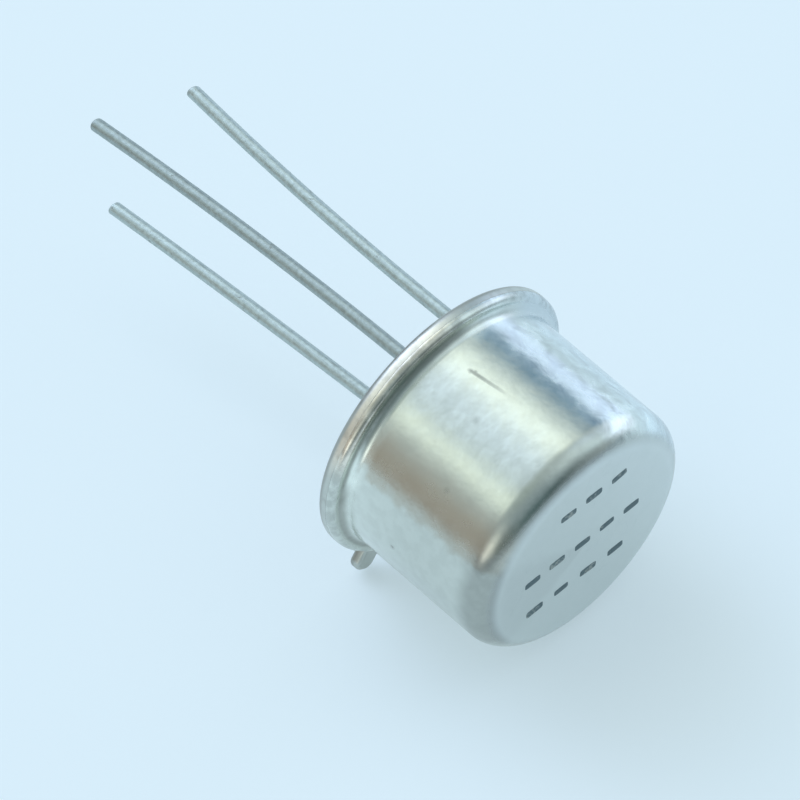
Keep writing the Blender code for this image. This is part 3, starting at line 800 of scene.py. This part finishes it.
class TRANSISTOR_OT_header(bpy.types.Operator):
    """Makes the stamped header with its flange, index tab and raised platform"""

    bl_idname = "transistor.header"
    bl_label = "Make Header"

    def execute(self, context):
        can = context.scene.transistor_can
        _, flange, _, platform = [radius * round_share() for radius in can_radii()]
        sheet = can.header_sheet
        outline = header_outline(can, flange)
        tangent = np.roll(outline, -1, axis=0) - np.roll(outline, 1, axis=0)
        outward = np.stack((tangent[:, 1], -tangent[:, 0]), axis=1)
        outward /= np.linalg.norm(outward, axis=1)[:, None]
        reach = np.linalg.norm(outline, axis=1)
        spoke = outline / reach[:, None]
        on_tab = np.clip((reach - flange) / can.tab_root, 0.0, 1.0)
        upper_edge = can.seam_edge + (can.tab_edge - can.seam_edge) * on_tab
        lower_edge = can.flange_edge + (can.tab_edge - can.flange_edge) * on_tab
        outer_corner = can.platform_corner + sheet
        corner_centre = (platform - outer_corner, can.platform_height - outer_corner)
        bend = bend_centre(platform)

        def inner(points):
            """Rings of the platform, its skirt and the bend: each point's radius along every spoke."""
            flat = spoke[:, None, :] * points[None, :, :1]
            height = np.broadcast_to(points[:, 1:], (len(spoke), len(points), 1))
            return np.concatenate((flat, height), axis=2)

        def rim(edge, start, end, level, steps):
            """Rings of a rounded edge: the outline drawn in by the edge's radius times 1 - cosine."""
            angle = np.radians(np.linspace(start, end, steps + 1))
            inset = edge[:, None] * (1.0 - np.cos(angle))
            flat = outline[:, None, :] - outward[:, None, :] * inset[:, :, None]
            height = level + edge[:, None] * (np.sin(angle) - math.copysign(1.0, start + end))
            return np.concatenate((flat, height[:, :, None]), axis=2)

        def between(first, last, steps):
            """Rings that go evenly from one ring to another."""
            share = np.linspace(0.0, 1.0, steps + 1)[1:-1, None]
            return first[:, None, :] * (1.0 - share) + last[:, None, :] * share

        upper = inner(np.vstack((
            (0.0, can.platform_height),
            arc(corner_centre, outer_corner, 90, 0, 10),
            arc(bend, can.skirt_root, 180, 270, 6),
        )))
        top_edge = rim(upper_edge, 90, 0, sheet, 7)
        bottom_edge = rim(lower_edge, 0, -90, 0.0, 7)
        lower = inner(np.vstack((
            arc(bend, can.skirt_root + sheet, 270, 180, 12),
            arc(corner_centre, can.platform_corner, 0, 90, 6),
            (0.0, can.platform_height - sheet),
        )))
        grid = np.concatenate((
            upper, between(upper[:, -1], top_edge[:, 0], 6), top_edge, bottom_edge,
            between(bottom_edge[:, -1], lower[:, 0], 6), lower,
        ), axis=1)
        mesh = ring_mesh("header_shell", grid)
        holes = []
        for index in range(2):
            hole = rod(
                "feedthrough", lead_place(index), can.feedthrough, can.platform_height - 2 * sheet,
                can.platform_height + sheet, HOLE_SIDES,
            )
            holes.append((hole, 'DIFFERENCE'))
        mesh = combined(mesh, holes, 35)
        add_piece("header_shell", mesh, plated_header(), ["header"])
        return {'FINISHED'}


class TRANSISTOR_OT_glass(bpy.types.Operator):
    """Makes the fused glass that fills the header and climbs the leads"""

    bl_idname = "transistor.glass"
    bl_label = "Make Glass Seal"

    def execute(self, context):
        can = context.scene.transistor_can
        leads = context.scene.transistor_leads
        sheet = can.header_sheet
        platform = can_radii()[3] * round_share()
        corner = can.platform_corner
        bend = bend_centre(platform)
        reach = can.skirt_root + sheet + FIT
        top = can.platform_height - sheet - FIT
        rim_height = can.glass_recess - can.glass_creep / 2
        last = 180 + math.degrees(math.asin((bend[1] - rim_height) / reach))
        skirt = arc(bend, reach, 180, last, 10)
        inward = np.linspace(skirt[-1, 0], 0.0, 80)[1:]
        climb = can.glass_creep / 2 * np.exp((inward - skirt[-1, 0]) / can.glass_creep)
        profile = np.vstack((
            (0.0, top),
            arc((platform - corner - sheet, can.platform_height - corner - sheet), corner - FIT, 90, 0, 6),
            skirt,
            np.stack((inward, can.glass_recess - climb), axis=1),
        ))
        grid = turned(profile, can.around)
        seen = len(profile) - len(inward)
        radius = leads.diameter / 2 + FIT
        for index in range(3):
            away = np.linalg.norm(grid[:, seen:, :2] - lead_place(index), axis=2)
            fall = np.exp((radius - np.maximum(away, radius)) / can.glass_creep)
            grid[:, seen:, 2] -= can.glass_creep * fall
        tools = []
        for index in range(2):
            collar = rod(
                "collar", lead_place(index), can.feedthrough - 4 * FIT, top - sheet / 2,
                can.platform_height - 4 * FIT, HOLE_SIDES,
            )
            tools.append((collar, 'UNION'))
        for index in range(3):
            bore = rod("bore", lead_place(index), 2 * radius, -sheet, can.platform_height + sheet)
            tools.append((bore, 'DIFFERENCE'))
        head = rod(
            "head_bore", lead_place(2), leads.head_diameter + 2 * FIT,
            top - leads.head_thickness - leads.head_taper - FIT, top + sheet, HOLE_SIDES,
        )
        tools.append((head, 'DIFFERENCE'))
        mesh = combined(ring_mesh("glass_fill", grid), tools, 35)
        add_piece("glass_fill", mesh, sealing_glass(), ["glass_seal"])
        return {'FINISHED'}


def lead_grid(index, top):
    """A round wire carried along its bent path, with a coined head above and a sheared tip below.

    The path's slope grows evenly from the root's lean to the tip's, and its steps are summed. Each
    ring is the path's point plus its radius times cosine and sine of u along two cross directions.
    """
    leads = bpy.context.scene.transistor_leads
    radius = leads.diameter / 2
    head = leads.head_diameter / 2
    reach = leads.reach + leads.trims[index]
    steps = 120
    middle = (np.arange(steps) + 0.5) * reach / steps
    lean = leads.root_leans[index] + (leads.tip_leans[index] - leads.root_leans[index]) * middle / reach
    angle = np.radians(lean * np.minimum(1.0, middle / leads.lean_start))
    direction = math.radians(leads.lean_direction)
    level = np.array((math.cos(direction), math.sin(direction), 0.0))
    moves = level * np.sin(angle)[:, None] - np.array((0.0, 0.0, 1.0)) * np.cos(angle)[:, None]
    start = np.append(lead_place(index), 0.0)
    bent = start + np.cumsum(moves * reach / steps, axis=0)
    neck = top - leads.head_thickness - leads.head_taper
    heights = np.array((top, top, top - leads.head_thickness, neck, neck * 0.5, 0.0))
    straight = start + np.stack((0.0 * heights, 0.0 * heights, heights), axis=1)
    tip = leads.tip_radius
    depth = np.radians(np.linspace(0.0, 90.0, 7))
    end = bent[-1] + moves[-1] * (np.sin(depth) - 1.0)[:, None] * tip
    path = np.vstack((straight, bent[:-1], end, bent[-1]))
    body = np.full(len(bent) - 1, radius)
    rounding = radius - tip * (1.0 - np.cos(depth))
    radii = np.concatenate(((0.0, head, head, radius, radius, radius), body, rounding, (0.0,)))
    down = np.tile((0.0, 0.0, -1.0), (len(straight), 1))
    tangent = np.vstack((down, moves[:-1], np.tile(moves[-1], (len(end) + 1, 1))))
    side = np.array((-level[1], level[0], 0.0))
    other = np.cross(tangent, side)
    around = 32
    u = np.linspace(0.0, 2.0 * math.pi, around, endpoint=False)[:, None, None]
    grid = path + radii[:, None] * (np.cos(u) * side + np.sin(u) * other)
    from_end = np.linalg.norm(path - bent[-1], axis=1)
    near = np.clip(1.0 - from_end / (6 * tip), 0.0, 1.0) ** 2 * radii / radius
    cutter = math.radians(70.0 + 40.0 * index)
    facing = 0.5 + 0.5 * np.cos(u[:, :, 0] - cutter)
    return grid - tangent * (near * facing * leads.tip_slant)[:, :, None]


class TRANSISTOR_OT_leads(bpy.types.Operator):
    """Makes the emitter, base and collector leads"""

    bl_idname = "transistor.leads"
    bl_label = "Make Leads"

    def execute(self, context):
        can = context.scene.transistor_can
        leads = context.scene.transistor_leads
        post = can.platform_height + leads.post_height
        stub = can.platform_height - can.header_sheet - FIT
        for index, (name, top) in enumerate((("emitter", post), ("base", post), ("collector", stub))):
            mesh = ring_mesh(name + "_wire", lead_grid(index, top), 50)
            material = plated_lead("dull_plated_" + name, index)
            add_piece(name + "_wire", mesh, material, [name + "_lead"])
        return {'FINISHED'}


# Rows of dashes, in millimetres: place across, first and last place along, and count
INK_ROWS = ((-2.1, -0.8, 1.2, 3), (-0.15, -2.1, 1.8, 5), (1.4, -1.9, 1.3, 4))
# How the dashes vary: their places in metres, their tilts in radians and their sizes as a share
INK_WANDER, INK_TILT, INK_SPREAD = 0.00003, 0.05, 0.06


class TRANSISTOR_OT_ink(bpy.types.Operator):
    """Makes three rows of plain worn ink dashes on the cap's top"""

    bl_idname = "transistor.ink"
    bl_label = "Make Ink Dashes"

    def execute(self, context):
        can = context.scene.transistor_can
        ink = context.scene.transistor_ink
        dice = np.random.default_rng(ink.seed)
        places = []
        for across, first, last, count in INK_ROWS:
            along = np.linspace(first, last, count)
            places.append(np.stack((along, np.full(count, across)), axis=1) / MM)
        places = np.vstack(places)
        places += dice.normal(0.0, INK_WANDER, places.shape)
        tilt = dice.normal(0.0, INK_TILT, len(places))
        size = 1.0 + dice.normal(0.0, INK_SPREAD, len(places))
        u = np.linspace(0.0, 2.0 * math.pi, 40, endpoint=False)
        bulge = 0.4
        shape = np.stack((
            ink.dash / 2 * np.sign(np.cos(u)) * np.abs(np.cos(u)) ** bulge,
            ink.stroke / 2 * np.sign(np.sin(u)) * np.abs(np.sin(u)) ** bulge,
        ), axis=1)
        share = np.array((0.0, 0.92, 1.0, 1.0, 0.0))
        heights = can.cap_height + ink.thickness * np.array((1.0, 1.0, 0.4, -0.5, -0.5))
        turn = math.radians(ink.turn)
        row = np.array((math.cos(turn), math.sin(turn)))
        column = np.array((math.sin(turn), -math.cos(turn)))
        outline = shape[None] * size[:, None, None]
        x = outline[..., 0] - tilt[:, None] * outline[..., 1]
        y = outline[..., 1] + tilt[:, None] * outline[..., 0]
        along = places[:, None, None, 0] + x[:, :, None] * share
        across = places[:, None, None, 1] + y[:, :, None] * share
        flat = along[..., None] * row + across[..., None] * column
        grid = np.concatenate((flat, np.broadcast_to(heights[:, None], (*flat.shape[:3], 1))), axis=3)
        mesh = ring_mesh("ink_dashes", grid, 40)
        add_piece("ink_dashes", mesh, worn_ink())
        return {'FINISHED'}


class TRANSISTOR_OT_inner_parts(bpy.types.Operator):
    """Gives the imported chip, its solder and the bond wires their finishes"""

    bl_idname = "transistor.inner_parts"
    bl_label = "Finish Inner Parts"

    def execute(self, context):
        finishes = context.scene.transistor_finishes
        wire = inner_metal("drawn_bond_wire", finishes.bond_wire, 0.28, 6.0, (1.0, 1.0, 0.3))
        solder = inner_metal("gold_solder", finishes.preform, 0.35, 9.0)
        silicon = polished_silicon()
        for name, node in frame["nodes"].items():
            if name.startswith(("emitter_bond", "base_bond")):
                node.material_slots[0].material = wire
            elif name == "solder_preform":
                node.material_slots[0].material = solder
            elif name == "silicon_chip":
                node.material_slots[0].material = silicon
        return {'FINISHED'}


# How far the floor's clear middle lies off the origin, and where a painted shadow darkens the floor ahead
# in what it reflects and lights
FLOOR_MIDDLE = 0.004
FLOOR_DIMS = (0.020, 0.045)
# The studio's even light, and its soft areas: azimuth, elevation and half width in degrees, colour
STUDIO_BASE = (0.37, 0.44, 0.475)
STUDIO_AREAS = (
    (134.0, 61.0, 9.5, (0.56, 0.57, 0.42)),
    (-120.0, 47.0, 7.0, (0.52, 0.54, 0.40)),
    (-113.0, 8.0, 15.0, (-0.04, -0.15, -0.22)),
    (115.0, 31.0, 6.5, (-0.38, -0.33, -0.21)),
    (113.0, 10.0, 7.5, (0.45, 0.57, 0.87)),
    (-78.0, 14.0, 9.0, (0.66, 0.69, 0.62)),
    (-15.0, 25.0, 28.0, (-0.12, -0.11, -0.10)),
    (40.0, 56.0, 14.0, (0.32, 0.37, 0.38)),
    (180.0, 45.0, 50.0, (0.20, 0.23, 0.21)),
    (-80.0, 62.0, 14.0, (-0.04, -0.04, -0.08)),
    (180.0, 38.0, 15.0, (2.65, 3.20, 4.30)),
    (92.0, 14.0, 10.0, (0.80, 0.88, 1.12)),
    (70.0, 12.0, 9.0, (0.64, 0.70, 0.87)),
    (54.0, 30.0, 10.0, (0.33, 0.42, 0.47)),
    (80.0, 48.0, 10.0, (0.21, 0.27, 0.38)),
    (-87.0, 4.0, 6.5, (0.88, 0.89, 0.87)),
    (12.0, 15.0, 12.0, (-0.18, -0.21, -0.23)),
    (-16.0, 8.0, 13.0, (-0.18, -0.20, -0.23)),
    (-50.0, 5.0, 12.0, (-0.16, -0.19, -0.23)),
)
LEAST_LIGHT = (0.02, 0.02, 0.02)


class TRANSISTOR_OT_stage(bpy.types.Operator):
    """Makes the pale floor, the soft studio light and the camera"""

    bl_idname = "transistor.stage"
    bl_label = "Make Stage"

    def execute(self, context):
        scene = context.scene
        studio = scene.transistor_studio
        self.make_floor(scene, studio)
        self.make_light(scene, studio)
        self.make_camera(scene, studio)
        scene.view_settings.view_transform = 'Standard'
        return {'FINISHED'}

    def make_floor(self, scene, studio):
        """A flat disc of rings, with a matt pale surface."""
        radii = np.concatenate(((0.0,), np.geomspace(0.01, studio.floor_radius, 24)))
        sides = 96
        u = np.linspace(0.0, 2.0 * math.pi, sides, endpoint=False)[:, None]
        grid = np.stack((radii * np.cos(u), radii * np.sin(u), 0.0 * radii * u), axis=2)
        mesh = bpy.data.meshes.new("floor")
        mesh.from_pydata(grid.reshape(-1, 3).tolist(), [], ring_faces(sides, len(radii), 1).tolist())
        merge(mesh, closed=False)
        tone = scene.transistor_finishes.floor
        material = bpy.data.materials.new("pale_floor")
        material.use_nodes = True
        graph = Graph(material.node_tree)
        coordinate = graph.add("ShaderNodeTexCoord", None, None, "Object")
        cloud = graph.noise(coordinate, 60.0, 3.0, 0.5)
        base = graph.mixed(cloud, tinted(tone, 0.985), tinted(tone, 1.01))
        camera, glossy, through = [
            graph.add("ShaderNodeLightPath", None, None, f"Is {kind} Ray")
            for kind in ("Camera", "Glossy", "Transmission")
        ]
        x, y = graph.parts(coordinate)[:2]
        aside, back = x + FLOOR_MIDDLE, y + FLOOR_MIDDLE
        away = (aside * aside + back * back) ** 0.5
        # A painted shadow on the far floor ahead, left out of what the camera sees directly
        ahead = graph.smooth(x * 0.35 + y, 0.0, -0.03)
        far = graph.smooth(away, *FLOOR_DIMS) * ahead * (1.0 - camera)
        lit = graph.add("ShaderNodeBsdfDiffuse", None, {"Color": graph.shaded(base, 1.0 - far * 0.4)})
        shown = graph.shaded(scene.transistor_finishes.backdrop, 1.0 - far * 0.6)
        plain = graph.add("ShaderNodeEmission", None, {"Color": shown})
        share = camera.largest(glossy).largest(through) * studio.lift
        surface = graph.add("ShaderNodeMixShader", None, {0: share, 1: lit, 2: plain})
        graph.add("ShaderNodeOutputMaterial", {"target": 'ALL'}, {0: surface})
        mesh.materials.append(material)
        floor = bpy.data.objects.new("floor", mesh)
        scene.collection.objects.link(floor)

    def make_light(self, scene, studio):
        """The studio round the object: its base plus soft areas, each exp((cosine - 1) / width²)."""
        world = bpy.data.worlds.new("soft_studio")
        world.use_nodes = True
        scene.world = world
        graph = Graph(world.node_tree)
        direction = graph.add("ShaderNodeTexCoord", None, None, "Generated")
        total = STUDIO_BASE
        for azimuth, elevation, width, tone in STUDIO_AREAS:
            a, e = math.radians(azimuth), math.radians(elevation)
            aim = (math.sin(a) * math.cos(e), -math.cos(a) * math.cos(e), math.sin(e))
            cosine = graph.vectors('DOT_PRODUCT', direction, aim, "Value")
            power = (cosine - 1.0) / math.radians(width) ** 2
            area = graph.shaded(tone, power.math('EXPONENT', power))
            total = graph.vectors('ADD', total, area)
        total = graph.vectors('MAXIMUM', total, LEAST_LIGHT)
        light = graph.add("ShaderNodeBackground", None, {"Color": total, "Strength": studio.light})
        graph.add("ShaderNodeOutputWorld", {"target": 'ALL'}, {0: light})

    def make_camera(self, scene, studio):
        """The camera at the photograph's viewing angle."""
        lens = bpy.data.cameras.new("camera")
        lens.lens = studio.lens
        lens.sensor_width = 36.0
        lens.clip_start = 0.01
        lens.clip_end = 2.0
        camera = bpy.data.objects.new("camera", lens)
        scene.collection.objects.link(camera)
        right = Vector(studio.camera_right).normalized()
        up = Vector(studio.camera_up)
        up = (up - right * up.dot(right)).normalized()
        place = Matrix((right, up, right.cross(up))).transposed().to_4x4()
        place.translation = Vector(studio.camera_place)
        camera.matrix_world = place
        scene.camera = camera


OPERATORS = (
    TRANSISTOR_OT_cap,
    TRANSISTOR_OT_header,
    TRANSISTOR_OT_glass,
    TRANSISTOR_OT_leads,
    TRANSISTOR_OT_ink,
    TRANSISTOR_OT_inner_parts,
    TRANSISTOR_OT_stage,
)

SETTINGS = {
    "transistor_can": CanSettings,
    "transistor_leads": LeadSettings,
    "transistor_ink": InkSettings,
    "transistor_finishes": FinishSettings,
    "transistor_studio": StudioSettings,
}


class TRANSISTOR_PT_panel(bpy.types.Panel):
    """Lists the steps and the settings that they use"""

    bl_idname = "TRANSISTOR_PT_panel"
    bl_label = "Metal Can Transistor"
    bl_space_type = 'VIEW_3D'
    bl_region_type = 'UI'
    bl_category = "Transistor"

    def draw(self, context):
        for operator in OPERATORS:
            self.layout.operator(operator.bl_idname)
        for name, group in SETTINGS.items():
            box = self.layout.box()
            settings = getattr(context.scene, name)
            for key in group.__annotations__:
                box.prop(settings, key)


CLASSES = (*SETTINGS.values(), *OPERATORS, TRANSISTOR_PT_panel)


def register():
    for kind in CLASSES:
        bpy.utils.register_class(kind)
    for name, group in SETTINGS.items():
        setattr(bpy.types.Scene, name, PointerProperty(type=group))


def unregister():
    for name in SETTINGS:
        delattr(bpy.types.Scene, name)
    for kind in reversed(CLASSES):
        bpy.utils.unregister_class(kind)


def main():
    """Makes every piece and the stage."""
    register()
    bpy.ops.transistor.cap()
    bpy.ops.transistor.header()
    bpy.ops.transistor.glass()
    bpy.ops.transistor.leads()
    bpy.ops.transistor.ink()
    bpy.ops.transistor.inner_parts()
    bpy.ops.transistor.stage()


if __name__ == "__main__":
    main()
